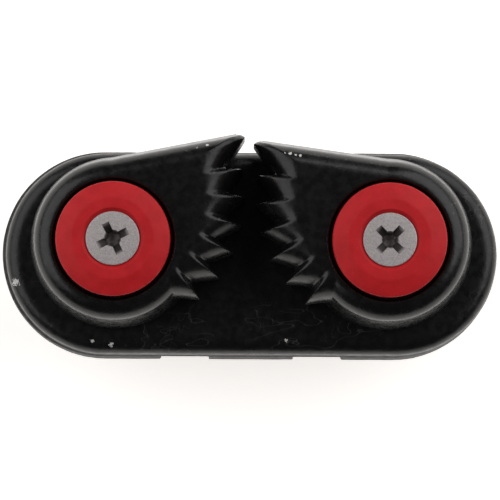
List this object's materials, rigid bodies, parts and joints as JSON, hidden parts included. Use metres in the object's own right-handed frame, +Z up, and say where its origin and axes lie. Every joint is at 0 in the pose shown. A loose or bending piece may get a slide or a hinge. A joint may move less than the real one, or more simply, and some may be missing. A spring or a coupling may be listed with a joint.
{
  "type": "cam cleat",
  "caption": "Cam cleat for a rope: spring-loaded toothed cams turn on ball races above a cast oval base, under red flanged caps held by countersunk through screws.",
  "frame": {"origin": "midpoint between the two screw axes, in the plane of the base's underside", "axes": "+X along the base from the left cam to the right cam, +Y from the loaded side towards the side the rope is hauled to, +Z up out of the deck"},
  "size_m": [0.0706, 0.0317, 0.0351],
  "materials": {
    "base_paint": "black anodised casting, satin",
    "cam_black": "black anodised casting, satin",
    "cap_red": "satin moulded",
    "screw_steel": "stainless, fine sandy grain",
    "race_steel": "turned and ground",
    "spacer_plastic": "natural acetal",
    "ball_steel": "polished bearing ball",
    "spring_steel": "drawn stainless wire"
  },
  "bodies": {
    "housing": {"base": "base_paint", "cap_left": "cap_red", "cap_right": "cap_red", "screw_left": "screw_steel", "screw_right": "screw_steel", "race_sleeve_left": "race_steel", "race_sleeve_right": "race_steel", "ball_washer_left": "spacer_plastic", "ball_washer_right": "spacer_plastic", "return_spring_left": "spring_steel", "return_spring_right": "spring_steel"},
    "left_cam": {"cam_left": "cam_black"},
    "right_cam": {"cam_right": "cam_black"},
    "left_balls": {"lower_balls_left": "ball_steel", "middle_balls_left": "ball_steel", "upper_balls_left": "ball_steel", "lower_spacer_left": "spacer_plastic", "upper_spacer_left": "spacer_plastic"},
    "right_balls": {"lower_balls_right": "ball_steel", "middle_balls_right": "ball_steel", "upper_balls_right": "ball_steel", "lower_spacer_right": "spacer_plastic", "upper_spacer_right": "spacer_plastic"}
  },
  "joints": [
    {"name": "left_cam_turn", "type": "hinge", "parent": "housing", "child": "left_cam", "pos_m": [-0.019, 0, 0.0156], "axis": [0, 0, 1], "range_deg": [0, 42], "stiffness_Nm_per_rad": 0.06, "springref_deg": -57.3, "deforming": ["return_spring_left"]},
    {"name": "right_cam_turn", "type": "hinge", "parent": "housing", "child": "right_cam", "pos_m": [0.019, 0, 0.0156], "axis": [0, 0, -1], "range_deg": [0, 45], "stiffness_Nm_per_rad": 0.06, "springref_deg": -57.3, "deforming": ["return_spring_right"]},
    {"name": "left_balls_roll", "type": "hinge", "parent": "housing", "child": "left_balls", "pos_m": [-0.019, 0, 0.0156], "axis": [0, 0, 1], "range_deg": [0, 28]},
    {"name": "right_balls_roll", "type": "hinge", "parent": "housing", "child": "right_balls", "pos_m": [0.019, 0, 0.0156], "axis": [0, 0, -1], "range_deg": [0, 28]}
  ],
  "couplings": [
    {"joint": "left_balls_roll", "follows": "left_cam_turn", "ratio": 0.606},
    {"joint": "right_balls_roll", "follows": "right_cam_turn", "ratio": 0.606}
  ]
}
